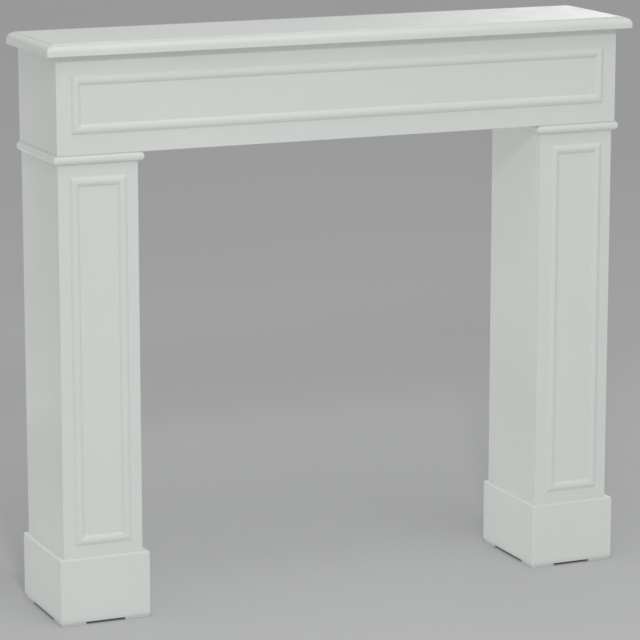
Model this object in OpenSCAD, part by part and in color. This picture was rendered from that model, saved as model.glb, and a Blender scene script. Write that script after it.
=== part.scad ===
// Fireplace mantelpiece: a free-standing surround built up from painted boards.
//
// Two three-sided legs carry a three-sided header box, and a moulded shelf lies
// on the header. Everything is open at the back, which stands against a wall.
// A half-round bead runs round each leg under the header, a skirt makes its
// plinth, and low pads lift the plinths off the floor.
//
// Frame: millimetres, Z up, the front faces -Y. The origin is on the floor, under
// the middle of the overall width and depth. "left" is the viewer's left, -X.

/* [Header] */
// Width of the header box across its end boards
header_w = 1050; // [700:1:1500]
// Depth of the header box, from its front face to the back edges
header_d = 197; // [150:1:300]
// Height of the header boards
header_h = 168; // [145:1:260]
// Thickness of the header boards
header_board_t = 15; // [9:0.5:20]

/* [Shelf] */
// Thickness of the shelf
shelf_t = 20; // [17:0.5:28]
// How far the shelf overhangs the header, in front and at both ends
shelf_overhang = 21; // [15:0.5:40]
// Radius of the quarter round on the shelf edge
shelf_ovolo_r = 12; // [6:0.5:14]
// Height of the small step above the quarter round
shelf_step_h = 1.5; // [0.5:0.1:2.5]
// Width of the ledge that the step leaves on top of the quarter round
shelf_step_w = 2; // [0.5:0.1:4]

/* [Legs] */
// Width of each leg across its side boards
leg_w = 143; // [110:1:220]
// Height of the leg boards, from the pads to the underside of the header
leg_h = 807.5; // [600:0.5:1100]
// Thickness of the leg boards
leg_board_t = 15; // [9:0.5:20]
// How far the leg front is set back from the header front
leg_front_inset = 6.5; // [2:0.5:8]
// How far the leg side is set in from the header end
leg_side_inset = 2.5; // [0:0.5:8]
// Radius that eases the upright arrises of header and legs
arris_r = 2; // [0.5:0.5:3]

/* [Bead under the header] */
// Diameter of the half-round bead
bead_d = 17; // [10:0.5:24]

/* [Plinths] */
// Height of the plinth skirt above the pads
plinth_h = 113; // [70:1:180]
// Thickness of the skirt boards
plinth_board_t = 9.5; // [6:0.5:18]
// Radius that eases the top edge of the skirt
plinth_top_r = 3; // [1:0.5:5]

/* [Foot pads] */
// Side of each square pad
pad_w = 45; // [30:1:55]
// Height of the pads
pad_h = 4.5; // [3:0.5:12]
// How far the pads are set in from the faces of the plinth
pad_inset = 1; // [0:0.5:5]

/* [Panel mouldings] */
// Width of the moulding strip
strip_w = 18; // [10:0.5:22]
// Height of the moulding strip above the board
strip_h = 4.5; // [3:0.5:8]
// Margin between the header ends and the moulded panel
header_panel_side = 25; // [10:1:80]
// Margin above and below the moulded panel on the header
header_panel_edge = 34; // [15:1:45]
// Margin round the moulded panel on a leg, to its sides, bead and plinth
leg_panel_margin = 20; // [12:1:28]

/* [Hidden] */
$fn = 96;
// Colour of the paint
paint = [0.88, 0.89, 0.87];
// Extra length of a cutting shape beyond the face that it cuts
cut = 1;
sides = ["left", "right"];
runs = ["front", "outer", "inner"];
frame_strips = ["top", "bottom", "left", "right"];
pad_rows = ["front", "back"];
pad_columns = ["outer", "inner"];

// Overall size and the planes that the pieces share
total_w = header_w + 2 * shelf_overhang;
total_d = header_d + shelf_overhang;
back_y = total_d / 2;
header_front_y = back_y - header_d;
leg_front_y = header_front_y + leg_front_inset;
leg_bottom_z = pad_h;
header_bottom_z = leg_bottom_z + leg_h;
shelf_bottom_z = header_bottom_z + header_h;
plinth_top_z = leg_bottom_z + plinth_h;
bead_r = bead_d / 2;
bead_z = header_bottom_z - bead_r;
leg_d = back_y - leg_front_y;
leg_outer_x = header_w / 2 - leg_side_inset;
leg_mid_x = leg_outer_x - leg_w / 2;
// Round that turns a strip of this width and height into a segment of a circle
strip_r = (strip_w * strip_w / 4 + strip_h * strip_h) / (2 * strip_h);

// Side of the middle that a leg stands on: -1 for the left and 1 for the right.
function side_sign(side) = side == "left" ? -1 : 1;

// Way that a leg's board, run or pad lies from the leg's own middle: 0 for the
// front, -1 towards -X and 1 towards +X.
function run_direction(side, run) =
    run == "front" ? 0 : (run == "outer" ? side_sign(side) : -side_sign(side));

// ---------------------------------------------------------------- runs of profile

// Carries a profile along a straight run. The profile is drawn with +X as the way
// out from the face that it stands on and Y as the height. That face lies on Y = 0
// and looks to -Y, and the run spans 0 to length in X. An end with its mitre flag
// set is cut to 45 degrees, so that the run grows longer as it comes forward.
module profile_run(length, projection, low_z, high_z, start_mitre, end_mitre) {
    reach = projection + cut;
    intersection() {
        translate([-reach, 0, 0])
            rotate([90, 0, 90])
                linear_extrude(height = length + 2 * reach)
                    mirror([1, 0])
                        children();
        translate([0, 0, low_z - cut])
            linear_extrude(height = high_z - low_z + 2 * cut)
                polygon([
                    [0, 0],
                    [start_mitre ? -reach : 0, -reach],
                    [length + (end_mitre ? reach : 0), -reach],
                    [length, 0]
                ]);
    }
}

// Places a run on one face of a leg. The front run is mitred at both ends, and a
// side run only where it meets the front one.
module run_on_leg(side, run, projection, low_z, high_z) {
    direction = run_direction(side, run);
    mid_x = side_sign(side) * leg_mid_x;
    if (direction == 0) {
        translate([mid_x - leg_w / 2, leg_front_y, 0])
            profile_run(leg_w, projection, low_z, high_z, true, true)
                children();
    } else if (direction < 0) {
        translate([mid_x - leg_w / 2, back_y, 0])
            rotate([0, 0, -90])
                profile_run(leg_d, projection, low_z, high_z, false, true)
                    children();
    } else {
        translate([mid_x + leg_w / 2, leg_front_y, 0])
            rotate([0, 0, 90])
                profile_run(leg_d, projection, low_z, high_z, true, false)
                    children();
    }
}

// ---------------------------------------------------------------- three-sided boxes

// Plan of a box of boards, open at the back, with its front arrises eased.
module open_box_plan(mid_x, w, front_y, board_t) {
    difference() {
        union() {
            translate([mid_x - w / 2, front_y + arris_r])
                square([w, back_y - front_y - arris_r]);
            translate([mid_x - w / 2 + arris_r, front_y])
                square([w - 2 * arris_r, 2 * arris_r]);
            for (x = [mid_x - w / 2 + arris_r, mid_x + w / 2 - arris_r])
                translate([x, front_y + arris_r])
                    circle(r = arris_r);
        }
        translate([mid_x - w / 2 + board_t, front_y + board_t])
            square([w - 2 * board_t, back_y - front_y]);
    }
}

// Plan of the part of a box that one board takes, parted along its 45 degree
// mitres. direction is 0 for the front, -1 for the -X side and 1 for the +X side.
module board_share(direction, mid_x, w, front_y, board_t) {
    corner = w / 2 + cut;
    front = front_y - cut;
    inner = w / 2 - board_t;
    inner_front = front_y + board_t;
    if (direction == 0) {
        polygon([
            [mid_x - corner, front],
            [mid_x + corner, front],
            [mid_x + inner, inner_front],
            [mid_x - inner, inner_front]
        ]);
    } else {
        polygon([
            [mid_x + direction * corner, front],
            [mid_x + direction * corner, back_y],
            [mid_x + direction * inner, back_y],
            [mid_x + direction * inner, inner_front]
        ]);
    }
}

// One upright board of an open box.
module box_board(direction, mid_x, w, front_y, board_t, low_z, height) {
    translate([0, 0, low_z])
        linear_extrude(height = height)
            intersection() {
                open_box_plan(mid_x, w, front_y, board_t);
                board_share(direction, mid_x, w, front_y, board_t);
            }
}

// ---------------------------------------------------------------- panel mouldings

// Section of the panel strip: a segment of a circle standing on a board.
module strip_section() {
    intersection() {
        translate([strip_h - strip_r, 0])
            circle(r = strip_r);
        translate([0, -strip_w / 2])
            square([strip_h, strip_w]);
    }
}

// One mitred strip of a picture-frame moulding. The frame is w by h outside, with
// its lower left corner at the origin, on a board face that looks to -Y.
module frame_strip(part, w, h) {
    upright = part == "left" || part == "right";
    far = part == "top" || part == "right";
    length = upright ? h : w;
    intersection() {
        if (upright) {
            translate([far ? w - strip_w / 2 : strip_w / 2, 0, 0])
                linear_extrude(height = length)
                    rotate(-90)
                        strip_section();
        } else {
            translate([0, 0, far ? h - strip_w / 2 : strip_w / 2])
                rotate([90, 0, 90])
                    linear_extrude(height = length)
                        mirror([1, 0])
                            strip_section();
        }
        rotate([90, 0, 0])
            translate([0, 0, -cut])
                linear_extrude(height = strip_h + 2 * cut)
                    strip_share(part, w, h);
    }
}

// Elevation of the part of a frame that one strip takes, parted along its mitres.
module strip_share(part, w, h) {
    t = strip_w;
    if (part == "top")
        polygon([[0, h], [t, h - t], [w - t, h - t], [w, h]]);
    if (part == "bottom")
        polygon([[0, 0], [w, 0], [w - t, t], [t, t]]);
    if (part == "left")
        polygon([[0, 0], [t, t], [t, h - t], [0, h]]);
    if (part == "right")
        polygon([[w, 0], [w, h], [w - t, h - t], [w - t, t]]);
}

// ---------------------------------------------------------------- the pieces

// Outline of the shelf edge over a span: fascia, quarter round and small step,
// the same at both ends of the span.
module shelf_outline(span) {
    round_z = shelf_t - shelf_step_h - shelf_ovolo_r;
    top_in = shelf_ovolo_r + shelf_step_w;
    square([span, round_z]);
    translate([shelf_ovolo_r, 0])
        square([span - 2 * shelf_ovolo_r, shelf_t - shelf_step_h]);
    translate([top_in, 0])
        square([span - 2 * top_in, shelf_t]);
    for (x = [shelf_ovolo_r, span - shelf_ovolo_r])
        translate([x, round_z])
            circle(r = shelf_ovolo_r);
}

module shelf() {
    color(paint)
        translate([-total_w / 2, -total_d / 2, shelf_bottom_z])
            intersection() {
                translate([0, total_d, 0])
                    rotate([90, 0, 0])
                        linear_extrude(height = total_d)
                            shelf_outline(total_w);
                rotate([90, 0, 90])
                    linear_extrude(height = total_w)
                        shelf_outline(2 * total_d);
                cube([total_w, total_d, shelf_t]);
            }
}

module header_board(direction) {
    color(paint)
        box_board(direction, 0, header_w, header_front_y, header_board_t,
            header_bottom_z, header_h);
}

module header_panel_strip(part) {
    color(paint)
        translate([
            header_panel_side - header_w / 2,
            header_front_y,
            header_bottom_z + header_panel_edge
        ])
            frame_strip(part, header_w - 2 * header_panel_side, header_h - 2 * header_panel_edge);
}

module leg_board(side, run) {
    color(paint)
        box_board(run_direction(side, run), side_sign(side) * leg_mid_x, leg_w, leg_front_y,
            leg_board_t, leg_bottom_z, leg_h);
}

module leg_panel_strip(side, part) {
    low = plinth_top_z + leg_panel_margin;
    high = header_bottom_z - bead_d - leg_panel_margin;
    color(paint)
        translate([
            side_sign(side) * leg_mid_x - leg_w / 2 + leg_panel_margin,
            leg_front_y,
            low
        ])
            frame_strip(part, leg_w - 2 * leg_panel_margin, high - low);
}

// Section of the bead: a half round standing on the leg.
module bead_section() {
    intersection() {
        translate([0, bead_z])
            circle(r = bead_r);
        translate([0, bead_z - bead_d])
            square([bead_d, 2 * bead_d]);
    }
}

module bead_strip(side, run) {
    color(paint)
        run_on_leg(side, run, bead_r, header_bottom_z - bead_d, header_bottom_z)
            bead_section();
}

// Section of the skirt: a thin board with its outer top edge rounded.
module plinth_section() {
    difference() {
        translate([0, leg_bottom_z])
            square([plinth_board_t, plinth_h]);
        translate([plinth_board_t - plinth_top_r, plinth_top_z - plinth_top_r])
            difference() {
                square(2 * plinth_top_r);
                circle(r = plinth_top_r);
            }
    }
}

module plinth_board(side, run) {
    color(paint)
        run_on_leg(side, run, plinth_board_t, leg_bottom_z, plinth_top_z)
            plinth_section();
}

module foot_pad(side, row, column) {
    direction = run_direction(side, column);
    edge_x = side_sign(side) * leg_mid_x + direction * (leg_w / 2 + plinth_board_t - pad_inset);
    front_y = leg_front_y - plinth_board_t + pad_inset;
    color(paint)
        translate([
            direction > 0 ? edge_x - pad_w : edge_x,
            row == "front" ? front_y : back_y - pad_inset - pad_w,
            0
        ])
            cube([pad_w, pad_w, pad_h]);
}

// ---------------------------------------------------------------- the nodes

shelf();
header_board(0);  // header_front_board
header_board(-1);  // header_left_end_board
header_board(1);  // header_right_end_board
for (part = frame_strips)
    header_panel_strip(part);
for (side = sides, run = runs) {
    leg_board(side, run);
    bead_strip(side, run);
    plinth_board(side, run);
}
for (side = sides, part = frame_strips)
    leg_panel_strip(side, part);
for (side = sides, row = pad_rows, column = pad_columns)
    foot_pad(side, row, column);
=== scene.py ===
"""Looks of the painted fireplace mantelpiece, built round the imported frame.

Every board, moulding and pad of the frame gets a finished piece of its own, with
sanded arrises, paint-filled joints and a satin paint. Lengths are in metres, +Z is
up, the front faces -Y, and the origin is on the floor.
"""

import math

import bmesh
import bpy
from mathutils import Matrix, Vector


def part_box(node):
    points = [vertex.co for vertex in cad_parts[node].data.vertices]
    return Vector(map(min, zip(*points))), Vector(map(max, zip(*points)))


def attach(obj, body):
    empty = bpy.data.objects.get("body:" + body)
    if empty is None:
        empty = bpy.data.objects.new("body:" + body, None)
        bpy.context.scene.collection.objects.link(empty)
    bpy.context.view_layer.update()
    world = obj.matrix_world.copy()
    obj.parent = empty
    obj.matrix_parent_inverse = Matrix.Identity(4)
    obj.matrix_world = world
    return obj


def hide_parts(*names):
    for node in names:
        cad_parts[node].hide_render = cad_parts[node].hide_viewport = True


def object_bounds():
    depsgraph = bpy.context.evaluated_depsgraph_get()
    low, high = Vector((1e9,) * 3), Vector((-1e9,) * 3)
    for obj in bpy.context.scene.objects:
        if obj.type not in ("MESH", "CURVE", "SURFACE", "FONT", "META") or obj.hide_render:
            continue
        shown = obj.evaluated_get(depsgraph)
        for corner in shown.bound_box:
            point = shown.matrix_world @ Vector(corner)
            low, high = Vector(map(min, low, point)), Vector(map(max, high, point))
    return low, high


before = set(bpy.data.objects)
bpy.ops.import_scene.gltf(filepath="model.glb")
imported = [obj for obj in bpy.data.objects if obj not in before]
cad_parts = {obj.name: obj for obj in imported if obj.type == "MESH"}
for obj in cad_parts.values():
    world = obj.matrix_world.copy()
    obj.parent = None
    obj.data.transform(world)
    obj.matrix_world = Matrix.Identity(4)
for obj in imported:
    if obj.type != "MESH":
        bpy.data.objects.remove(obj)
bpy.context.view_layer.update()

MM = 0.001
SIDES = ("left", "right")
RUNS = ("front", "outer", "inner")
FRAME_STRIPS = ("top", "bottom", "left", "right")
PIECE_SUFFIX = "_finished"

# Shared roundings
ARRIS_RADIUS = 2 * MM          # upright arrises of header and legs
SANDED_EDGE = 0.5 * MM         # ends and lower edges of boards
STRIP_FILLET = 1.6 * MM        # paint along both feet of a panel strip
ARC_STEPS = 8                  # facets in a quarter round or less
MERGE_DISTANCE = 1e-6
SMOOTH_ANGLE = math.radians(32)

# Shelf edge
SHELF_STEP_HEIGHT = 1.5 * MM
SHELF_STEP_WIDTH = 2 * MM
SHELF_OVOLO_RADIUS = 12 * MM
SHELF_CORNER_RADIUS = 1.6 * MM
SHELF_TOP_ARRIS = 1.2 * MM

# Plinth, bead and pads
PLINTH_TOP_RADIUS = 3 * MM
PLINTH_CORNER_RADIUS = 1.4 * MM
BEAD_CORNER_RADIUS = 1 * MM
BEAD_FOOT_FILLET = 1.6 * MM    # paint under the bead
BEAD_FILLER_DEPTH = 4.9 * MM   # reach of the filler above the front bead, from the wall
PAD_CORNER_RADIUS = 3 * MM
PAD_EDGE = 0.7 * MM

# Surroundings
WORLD_STRENGTH = 0.515
PATCH_DIRECTION = (0.545, 0.839, 0.12)
PATCH_RADIUS = math.radians(10)
PATCH_FALLOFF = 2.3
PATCH_STRENGTH = 3.8
FLOOR_HALF_WIDTH = 40

# Camera, from the middle of the part
CAMERA_OFFSET = (-2.171, -4.978, 1.107)
AIM_OFFSET = (-0.0115, 0, -0.0236)
LENS_MM = 176.3
SENSOR_MM = 36
FAR_CLIP = 200


# ---------------------------------------------------------------- plane geometry

def arc(centre_x, centre_y, radius, start_deg, end_deg, steps=ARC_STEPS):
    """Points along an arc in a plane, from one angle to the other."""
    points = []
    for step in range(steps + 1):
        angle = math.radians(start_deg + (end_deg - start_deg) * step / steps)
        x = centre_x + radius * math.cos(angle)
        y = centre_y + radius * math.sin(angle)
        points.append((x, y))
    return points


def joined_box(*nodes):
    """Lowest and highest corner of several CAD nodes together."""
    boxes = [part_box(node) for node in nodes]
    low = Vector(min(box[0][axis] for box in boxes) for axis in range(3))
    high = Vector(max(box[1][axis] for box in boxes) for axis in range(3))
    return low, high


# ---------------------------------------------------------------- meshes

def loft(rings):
    """A closed skin over rings of points that all have the same count."""
    shape = bmesh.new()
    loops = [[shape.verts.new(point) for point in ring] for ring in rings]
    for lower, upper in zip(loops, loops[1:]):
        for here in range(len(lower)):
            after = (here + 1) % len(lower)
            shape.faces.new((lower[here], lower[after], upper[after], upper[here]))
    shape.faces.new(list(reversed(loops[0])))
    shape.faces.new(loops[-1])
    bmesh.ops.remove_doubles(shape, verts=shape.verts, dist=MERGE_DISTANCE)
    bmesh.ops.recalc_face_normals(shape, faces=shape.faces)
    return shape


def finish_piece(node, shape, materials, outward=None):
    """Makes the piece that stands for a CAD node.

    Faces that look away from outward, level with the floor, take the second material.
    """
    for face in shape.faces:
        face.smooth = True
        if outward and abs(face.normal.z) < 0.5 and face.normal.dot(outward) < 0.1:
            face.material_index = 1
    mesh = bpy.data.meshes.new(node + PIECE_SUFFIX)
    shape.to_mesh(mesh)
    shape.free()
    for material in materials:
        mesh.materials.append(material)
    mesh.set_sharp_from_angle(angle=SMOOTH_ANGLE)
    piece = bpy.data.objects.new(node + PIECE_SUFFIX, mesh)
    bpy.context.scene.collection.objects.link(piece)
    shading = piece.modifiers.new("flat_faces_stay_flat", "WEIGHTED_NORMAL")
    shading.mode = "FACE_AREA"
    shading.weight = 100
    shading.keep_sharp = True
    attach(piece, "root")
    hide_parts(node)
    return piece


# ---------------------------------------------------------------- boards of an open box

def eased_levels(low, high, radius, steps=3):
    """Heights and insets of the rings that round a board's lower and upper edge."""
    turns = [math.pi / 2 * step / steps for step in range(steps + 1)]
    upper = [(high - radius * (1 - math.sin(a)), radius * (1 - math.cos(a))) for a in turns]
    lower = [(low + high - height, inset) for height, inset in reversed(upper)]
    return lower + upper


def corner_points(x, y, sign, start_deg, end_deg):
    """Points of an eased front arris, each with the way out of the board there."""
    centre_x = x - sign * ARRIS_RADIUS
    centre_y = y + ARRIS_RADIUS
    points = arc(centre_x, centre_y, ARRIS_RADIUS, start_deg, end_deg)
    return [
        (px, py, (px - centre_x) / ARRIS_RADIUS, (py - centre_y) / ARRIS_RADIUS)
        for px, py in points
    ]


def board_plan(direction, low, high, thickness):
    """Plan of one board of a box from low to high, mitred where boards meet.

    direction is 0 for the front, -1 for the -X side and 1 for the +X side. Each point
    comes with the way out of the board there, which is (0, 0) on the inside.
    """
    inner_y = low.y + thickness
    left_inner = low.x + thickness
    right_inner = high.x - thickness
    if direction == 0:
        outside = corner_points(low.x, low.y, -1, 225, 270)
        outside += corner_points(high.x, low.y, 1, 270, 315)
        return outside + [(right_inner, inner_y, 0, 0), (left_inner, inner_y, 0, 0)]
    if direction < 0:
        outside = [(low.x, high.y, -1, 0)]
        outside += corner_points(low.x, low.y, -1, 180, 225)
        return outside + [(left_inner, inner_y, 0, 0), (left_inner, high.y, 0, 0)]
    outside = corner_points(high.x, low.y, 1, 315, 360) + [(high.x, high.y, 1, 0)]
    return outside + [(right_inner, high.y, 0, 0), (right_inner, inner_y, 0, 0)]


def make_board(node, direction, low, high, thickness, materials):
    """One upright board of an open box."""
    plan = board_plan(direction, low, high, thickness)
    rings = [
        [(x - out_x * inset, y - out_y * inset, height) for x, y, out_x, out_y in plan]
        for height, inset in eased_levels(low.z, high.z, SANDED_EDGE)
    ]
    outward = Vector((direction, 0, 0)) if direction else Vector((0, -1, 0))
    finish_piece(node, loft(rings), materials, outward)


def make_box(nodes, materials):
    """The three boards of an open box. nodes maps a direction to its CAD node."""
    low, high = joined_box(*nodes.values())
    front_low, front_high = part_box(nodes[0])
    thickness = front_high.y - front_low.y
    for direction, node in nodes.items():
        make_board(node, direction, low, high, thickness, materials)


def run_directions(side):
    """Way that each run of a leg lies from the leg's middle."""
    outer = -1 if side == "left" else 1
    return {0: "front", outer: "outer", -outer: "inner"}


def make_header(materials):
    nodes = {
        0: "header_front_board",
        -1: "header_left_end_board",
        1: "header_right_end_board",
    }
    make_box(nodes, materials)


def make_leg(side, materials):
    nodes = {way: f"{side}_leg_{run}_board" for way, run in run_directions(side).items()}
    make_box(nodes, materials)


# ---------------------------------------------------------------- runs round a leg

def run_ring(section, reach, length, at_end, turn_deg, corner_radius, place):
    """The section where a run is cut square or, given a turn, swept round a corner.

    reach is the section's greatest projection. The corner's radius shrinks towards
    the wall, so that the run stays on the leg.
    """
    turn = math.radians(turn_deg)
    ring = []
    for out, height in section:
        radius = corner_radius * out / reach
        overrun = out - radius * (1 - math.sin(turn))
        projection = out - radius * (1 - math.cos(turn))
        along = length + overrun if at_end else -overrun
        ring.append(place(along, projection, height))
    return ring


def run_rings(section, length, mitres, corner_radius, place, inner_section=None):
    """Rings of a run from its start to its end, with a mitred end where mitres says.

    Between its mitres the run may have an inner section with as many points.
    """
    reach = max(out for out, height in section)
    turns = [45 * step / ARC_STEPS for step in range(ARC_STEPS + 1)]
    rings = []
    if mitres[0]:
        for turn in reversed(turns):
            rings.append(run_ring(section, reach, length, False, turn, corner_radius, place))
    else:
        rings.append([place(0, out, height) for out, height in section])
    if inner_section:
        rings.append([place(0, out, height) for out, height in inner_section])
        rings.append([place(length, out, height) for out, height in inner_section])
    if mitres[1]:
        for turn in turns:
            rings.append(run_ring(section, reach, length, True, turn, corner_radius, place))
    else:
        rings.append([place(length, out, height) for out, height in section])
    return rings


def make_run(node, direction, low, high, section, corner_radius, materials, inner_section=None):
    """One run of a section round a leg. low and high are the corners of the leg.

    Only the front run takes an inner section.
    """
    def place_front(along, out, height):
        return low.x + along, low.y - out, height

    def place_side(along, out, height):
        wall_x = high.x if direction > 0 else low.x
        return wall_x + direction * out, low.y + along, height

    if direction == 0:
        length = high.x - low.x
        rings = run_rings(section, length, (True, True), corner_radius, place_front, inner_section)
        outward = Vector((0, -1, 0))
    else:
        rings = run_rings(section, high.y - low.y, (True, False), corner_radius, place_side)
        outward = Vector((direction, 0, 0))
    finish_piece(node, loft(rings), materials, outward)


def bead_section(low_z, high_z):
    """Half round on the wall, with a hollow of paint at its foot."""
    radius = (high_z - low_z) / 2
    middle = (high_z + low_z) / 2
    fillet = BEAD_FOOT_FILLET
    foot = arc(fillet, low_z, fillet, 180, 90, 4)
    lower = arc(fillet, middle, radius - fillet, -90, 0)
    upper = [
        (out, middle + (height - middle) * radius / (radius - fillet))
        for out, height in arc(fillet, middle, radius - fillet, 0, 90)
    ]
    return foot + lower[1:] + upper[1:] + [(0, high_z)]


def filled_bead_section(section):
    """The bead's section with filler in the gap between its top and the header."""
    middle = (section[0][1] + section[-1][1]) / 2
    return [
        (max(out, BEAD_FILLER_DEPTH) if out > 0 and height > middle else out, height)
        for out, height in section
    ]


def plinth_section(low_z, high_z, thickness):
    """Skirt board with a rounded outer top edge and a sanded lower one."""
    top = PLINTH_TOP_RADIUS
    low_edge = arc(thickness - SANDED_EDGE, low_z + SANDED_EDGE, SANDED_EDGE, -90, 0, 3)
    top_edge = arc(thickness - top, high_z - top, top, 0, 90)
    return [(0, low_z)] + low_edge + top_edge + [(0, high_z)]


def make_leg_runs(side, materials):
    """The bead and the plinth round one leg."""
    leg_low, leg_high = joined_box(*[f"{side}_leg_{run}_board" for run in RUNS])
    for direction, run in run_directions(side).items():
        bead = f"{side}_bead_{run}_strip"
        low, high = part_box(bead)
        section = bead_section(low.z, high.z)
        filled = filled_bead_section(section) if direction == 0 else None
        make_run(bead, direction, leg_low, leg_high, section, BEAD_CORNER_RADIUS, materials, filled)
        plinth = f"{side}_plinth_{run}_board"
        low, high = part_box(plinth)
        thickness = leg_low.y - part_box(f"{side}_plinth_front_board")[0].y
        section = plinth_section(low.z, high.z, thickness)
        make_run(plinth, direction, leg_low, leg_high, section, PLINTH_CORNER_RADIUS, materials)


# ---------------------------------------------------------------- panel mouldings

def strip_section(width, height):
    """Segment of a circle on a board, with a hollow of paint along both feet."""
    fillet = STRIP_FILLET
    full_radius = (width * width / 4 + height * height) / (2 * height)
    radius = full_radius - fillet
    lean = math.degrees(math.asin((full_radius - height) / full_radius))
    near_foot = arc(0, fillet, fillet, -90, -lean, 4)
    crown = arc(width / 2, height - radius, radius, 180 - lean, lean, 2 * ARC_STEPS)
    far_foot = arc(width, fillet, fillet, 180 + lean, 270, 4)
    return near_foot + crown[1:] + far_foot[1:]


def make_panel_strip(node, part, low, high, wall_y, materials):
    """One mitred strip of the moulded frame from low to high on a board at wall_y."""
    strip_low, strip_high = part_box(node)
    upright = part in ("left", "right")
    width = strip_high.x - strip_low.x if upright else strip_high.z - strip_low.z
    length = high.z - low.z if upright else high.x - low.x
    section = strip_section(width, wall_y - strip_low.y)

    def place(along, inward, height):
        if upright:
            x = high.x - inward if part == "right" else low.x + inward
            return x, wall_y - height, low.z + along
        z = high.z - inward if part == "top" else low.z + inward
        return low.x + along, wall_y - height, z

    rings = [
        [place(inward, inward, height) for inward, height in section],
        [place(length - inward, inward, height) for inward, height in section],
    ]
    finish_piece(node, loft(rings), materials, Vector((0, -1, 0)))


def make_panel(prefix, board, materials):
    """The four strips of one moulded panel on the front face of a board."""
    nodes = {part: f"{prefix}_panel_{part}_strip" for part in FRAME_STRIPS}
    low, high = joined_box(*nodes.values())
    wall_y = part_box(board)[0].y
    for part, node in nodes.items():
        make_panel_strip(node, part, low, high, wall_y, materials)


# ---------------------------------------------------------------- shelf

def shelf_profile(low_z, high_z):
    """Insets and heights up the shelf's edge, from its underside to its top."""
    step_z = high_z - SHELF_STEP_HEIGHT
    round_z = step_z - SHELF_OVOLO_RADIUS
    step_inset = SHELF_OVOLO_RADIUS + SHELF_STEP_WIDTH
    edge = SANDED_EDGE
    profile = arc(edge, low_z + edge, edge, 270, 180, 4)
    profile += arc(SHELF_OVOLO_RADIUS, round_z, SHELF_OVOLO_RADIUS, 180, 90, 2 * ARC_STEPS)
    profile.append((step_inset, step_z))
    arris = SHELF_TOP_ARRIS
    profile += arc(step_inset + arris, high_z - arris, arris, 180, 90, 4)
    return profile


def shelf_outline(low, high, inset, height):
    """Outline of the shelf at one height, inset at the front and both ends."""
    radius = SHELF_CORNER_RADIUS
    left = low.x + inset
    right = high.x - inset
    front = low.y + inset
    plan = [(left, high.y)]
    plan += arc(left + radius, front + radius, radius, 180, 270)
    plan += arc(right - radius, front + radius, radius, 270, 360)
    plan.append((right, high.y))
    return [(x, y, height) for x, y in plan]


def make_shelf(materials):
    low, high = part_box("shelf")
    rings = [
        shelf_outline(low, high, inset, height)
        for inset, height in shelf_profile(low.z, high.z)
    ]
    finish_piece("shelf", loft(rings), materials)


# ---------------------------------------------------------------- foot pads

def make_pad(node, materials):
    """A square pad with rounded corners and softened edges."""
    low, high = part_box(node)
    rings = []
    for height, inset in eased_levels(low.z, high.z, PAD_EDGE):
        radius = PAD_CORNER_RADIUS - inset
        near = PAD_CORNER_RADIUS
        plan = arc(low.x + near, low.y + near, radius, 180, 270)
        plan += arc(high.x - near, low.y + near, radius, 270, 360)
        plan += arc(high.x - near, high.y - near, radius, 0, 90)
        plan += arc(low.x + near, high.y - near, radius, 90, 180)
        rings.append([(x, y, height) for x, y in plan])
    finish_piece(node, loft(rings), materials)


def make_pads(materials):
    for side in SIDES:
        for row in ("front", "back"):
            for column in ("outer", "inner"):
                make_pad(f"{side}_foot_pad_{row}_{column}", materials)


# ---------------------------------------------------------------- materials

class Nodes:
    """A short way to build a node tree: each call adds a node and links its inputs."""

    def __init__(self, material):
        material.use_nodes = True
        self.tree = material.node_tree
        self.shader = self.tree.nodes["Principled BSDF"]
        coordinates = self.tree.nodes.new("ShaderNodeTexCoord")
        self.place = coordinates.outputs["Object"]

    def set(self, socket, value):
        """Links a value that is another node's output, and stores any other."""
        if isinstance(value, bpy.types.NodeSocket):
            self.tree.links.new(value, socket)
        else:
            socket.default_value = value

    def noise(self, scale, detail, stretch=(1, 1, 1)):
        """Noise from 0 to 1 whose features are about 1 / scale metres across."""
        mapping = self.tree.nodes.new("ShaderNodeMapping")
        self.set(mapping.inputs["Vector"], self.place)
        mapping.inputs["Scale"].default_value = stretch
        node = self.tree.nodes.new("ShaderNodeTexNoise")
        self.set(node.inputs["Vector"], mapping.outputs["Vector"])
        node.inputs["Scale"].default_value = scale
        node.inputs["Detail"].default_value = detail
        return node.outputs["Fac"]

    def span(self, value, low, high):
        """Carries a value that lies between 0.3 and 0.7 over to low and high."""
        node = self.tree.nodes.new("ShaderNodeMapRange")
        self.set(node.inputs["Value"], value)
        node.inputs["From Min"].default_value = 0.3
        node.inputs["From Max"].default_value = 0.7
        node.inputs["To Min"].default_value = low
        node.inputs["To Max"].default_value = high
        return node.outputs["Result"]

    def mix(self, share, first, second):
        """Mix of two colours."""
        node = self.tree.nodes.new("ShaderNodeMix")
        node.data_type = "RGBA"
        self.set(node.inputs["Factor"], share)
        self.set(node.inputs[6], (*first, 1) if isinstance(first, tuple) else first)
        self.set(node.inputs[7], (*second, 1) if isinstance(second, tuple) else second)
        return node.outputs[2]

    def bump(self, height, depth, strength, below=None):
        """Bump of a height field, depth metres deep, on top of another bump."""
        node = self.tree.nodes.new("ShaderNodeBump")
        node.inputs["Strength"].default_value = strength
        node.inputs["Distance"].default_value = depth
        self.set(node.inputs["Height"], height)
        if below is not None:
            self.set(node.inputs["Normal"], below)
        return node.outputs["Normal"]


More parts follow.
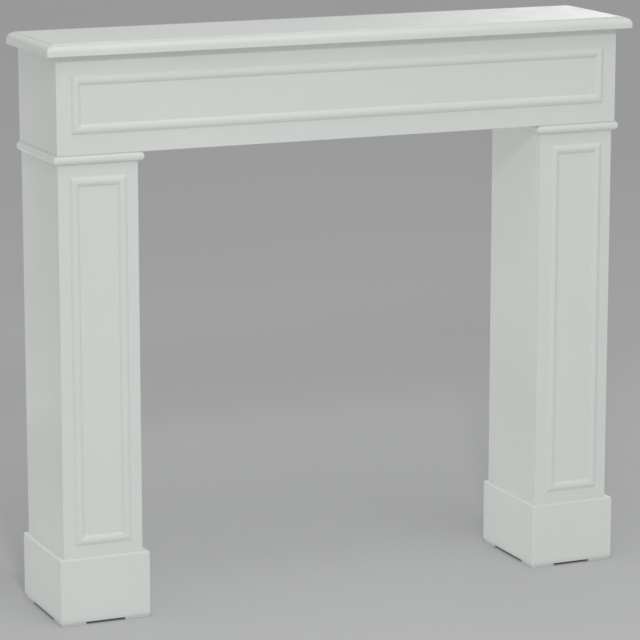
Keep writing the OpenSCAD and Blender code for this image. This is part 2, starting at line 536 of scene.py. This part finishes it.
def satin_paint():
    """Sprayed satin white: a faint orange peel and slow drifts of tone and sheen."""
    material = bpy.data.materials.new("satin_white_paint")
    nodes = Nodes(material)
    drift = nodes.span(nodes.noise(5, 3), 0, 1)
    mottle = nodes.span(nodes.noise(60, 2), 0, 0.35)
    tone = nodes.mix(drift, (0.765, 0.800, 0.762), (0.790, 0.818, 0.782))
    colour = nodes.mix(mottle, tone, (0.770, 0.795, 0.760))
    peel = nodes.bump(nodes.noise(420, 2), 0.05 * MM, 0.35)
    sag = nodes.bump(nodes.noise(18, 1), 0.4 * MM, 0.12, peel)
    nodes.set(nodes.shader.inputs["Base Color"], colour)
    nodes.set(nodes.shader.inputs["Roughness"], nodes.span(nodes.noise(22, 3), 0.29, 0.37))
    nodes.set(nodes.shader.inputs["Normal"], sag)
    nodes.shader.inputs["IOR"].default_value = 1.48
    return material


def undercoat():
    """Plain matt primer on the sides that are turned to the wall."""
    material = bpy.data.materials.new("white_undercoat")
    nodes = Nodes(material)
    streak = nodes.span(nodes.noise(40, 3, (1, 1, 0.12)), 0, 1)
    colour = nodes.mix(streak, (0.715, 0.73, 0.70), (0.745, 0.757, 0.727))
    fibre = nodes.bump(nodes.noise(700, 3), 0.08 * MM, 0.4)
    nodes.set(nodes.shader.inputs["Base Color"], colour)
    nodes.set(nodes.shader.inputs["Roughness"], nodes.span(nodes.noise(90, 2), 0.62, 0.78))
    nodes.set(nodes.shader.inputs["Normal"], fibre)
    return material


def pad_finish():
    """Matt white moulded pad."""
    material = bpy.data.materials.new("matt_white_pad")
    nodes = Nodes(material)
    speckle = nodes.span(nodes.noise(120, 2), 0, 1)
    colour = nodes.mix(speckle, (0.70, 0.71, 0.69), (0.76, 0.77, 0.75))
    grain = nodes.bump(nodes.noise(1500, 2), 0.05 * MM, 0.5)
    nodes.set(nodes.shader.inputs["Base Color"], colour)
    nodes.set(nodes.shader.inputs["Roughness"], nodes.span(nodes.noise(300, 2), 0.55, 0.7))
    nodes.set(nodes.shader.inputs["Normal"], grain)
    return material


def floor_finish():
    """Even, pale studio floor."""
    material = bpy.data.materials.new("studio_floor")
    nodes = Nodes(material)
    drift = nodes.span(nodes.noise(0.8, 2), 0, 1)
    colour = nodes.mix(drift, (0.60, 0.603, 0.607), (0.615, 0.618, 0.622))
    nodes.set(nodes.shader.inputs["Base Color"], colour)
    nodes.shader.inputs["Roughness"].default_value = 0.9
    nodes.shader.inputs["Specular IOR Level"].default_value = 0
    return material


# ---------------------------------------------------------------- stage

def make_floor(material):
    half = FLOOR_HALF_WIDTH
    mesh = bpy.data.meshes.new("floor")
    corners = [(-half, -half, 0), (half, -half, 0), (half, half, 0), (-half, half, 0)]
    mesh.from_pydata(corners, [], [(0, 1, 2, 3)])
    mesh.materials.append(material)
    floor = bpy.data.objects.new("floor", mesh)
    bpy.context.scene.collection.objects.link(floor)
    return floor


def softbox(name, place, aim, width, height, power):
    """A rectangular soft light that the camera doesn't see. Returns its object."""
    light = bpy.data.lights.new(name, "AREA")
    light.shape = "RECTANGLE"
    light.size = width
    light.size_y = height
    light.energy = power
    holder = bpy.data.objects.new(name, light)
    holder.location = place
    holder.rotation_mode = "QUATERNION"
    holder.rotation_quaternion = (Vector(aim) - Vector(place)).to_track_quat("-Z", "Y")
    holder.visible_camera = False
    bpy.context.scene.collection.objects.link(holder)
    return holder


def spare_floor(light, floor):
    """Keeps a light off the floor, where its edge would show."""
    receivers = bpy.data.collections.new(light.name + "_receivers")
    receivers.objects.link(floor)
    receivers.collection_objects[0].light_linking.link_state = "EXCLUDE"
    light.light_linking.receiver_collection = receivers


def make_world():
    """Even white surroundings with one soft bright patch low down at the back right.

    The patch brightens the shelf's top towards its right end. It was tuned.
    """
    world = bpy.data.worlds.new("studio")
    world.use_nodes = True
    tree = world.node_tree
    coordinates = tree.nodes.new("ShaderNodeTexCoord")
    facing = tree.nodes.new("ShaderNodeVectorMath")
    facing.operation = "DOT_PRODUCT"
    tree.links.new(coordinates.outputs["Generated"], facing.inputs[0])
    facing.inputs[1].default_value = Vector(PATCH_DIRECTION).normalized()
    share = tree.nodes.new("ShaderNodeMapRange")
    tree.links.new(facing.outputs["Value"], share.inputs["Value"])
    share.inputs["From Min"].default_value = math.cos(PATCH_RADIUS)
    share.inputs["From Max"].default_value = 1
    falloff = tree.nodes.new("ShaderNodeMath")
    falloff.operation = "POWER"
    tree.links.new(share.outputs["Result"], falloff.inputs[0])
    falloff.inputs[1].default_value = PATCH_FALLOFF
    strength = tree.nodes.new("ShaderNodeMath")
    strength.operation = "MULTIPLY_ADD"
    tree.links.new(falloff.outputs["Value"], strength.inputs[0])
    strength.inputs[1].default_value = PATCH_STRENGTH
    strength.inputs[2].default_value = WORLD_STRENGTH
    background = tree.nodes["Background"]
    background.inputs["Color"].default_value = (1, 1, 1, 1)
    tree.links.new(strength.outputs["Value"], background.inputs["Strength"])
    bpy.context.scene.world = world


def make_lights(floor):
    """Lights matched to the photo. The four fills leave the floor alone."""
    softbox("key", (-1.1, -3.1, 2.65), (0, 0, 0.6), 0.35, 0.35, 26)
    softbox("overhead", (0, -1.2, 3.4), (0, 0, 0.6), 2.4, 2.0, 16.5)
    front_fill = softbox("front_fill", (-0.6, -4.5, 0.8), (0, 0, 0.5), 4.0, 1.5, 6.5)
    back_fill = softbox("back_fill", (-0.5, 1.3, 0.5), (0.4, 0, 0.45), 0.9, 0.9, 2.2)
    left_foot_fill = softbox("left_foot_fill", (-0.85, 0, 0.1), (-0.53, 0, 0.1), 0.3, 0.16, 0.1)
    right_foot_fill = softbox("right_foot_fill", (0.05, 0, 0.1), (0.37, 0, 0.1), 0.3, 0.16, 0.055)
    for fill in (front_fill, back_fill, left_foot_fill, right_foot_fill):
        spare_floor(fill, floor)
    softbox("floor_glow", (0, -0.2, 0.006), (0, -0.2, 5), 5.0, 4.0, 8)


def make_camera():
    """Near the photo's view, from the left and above, without the photo's lens shift."""
    low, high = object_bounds()
    middle = (low + high) / 2
    place = middle + Vector(CAMERA_OFFSET)
    aim = middle + Vector(AIM_OFFSET)
    lens = bpy.data.cameras.new("camera")
    lens.lens = LENS_MM
    lens.sensor_width = SENSOR_MM
    lens.clip_end = FAR_CLIP
    camera = bpy.data.objects.new("camera", lens)
    camera.location = place
    camera.rotation_mode = "QUATERNION"
    camera.rotation_quaternion = (aim - place).to_track_quat("-Z", "Y")
    bpy.context.scene.collection.objects.link(camera)
    bpy.context.scene.camera = camera


def build():
    bpy.context.scene.view_settings.view_transform = "Standard"
    painted = [satin_paint(), undercoat()]
    make_camera()
    make_shelf(painted[:1])
    make_header(painted)
    make_panel("header", "header_front_board", painted)
    for side in SIDES:
        make_leg(side, painted)
        make_panel(f"{side}_leg", f"{side}_leg_front_board", painted)
        make_leg_runs(side, painted)
    make_pads([pad_finish()])
    floor = make_floor(floor_finish())
    make_world()
    make_lights(floor)


build()
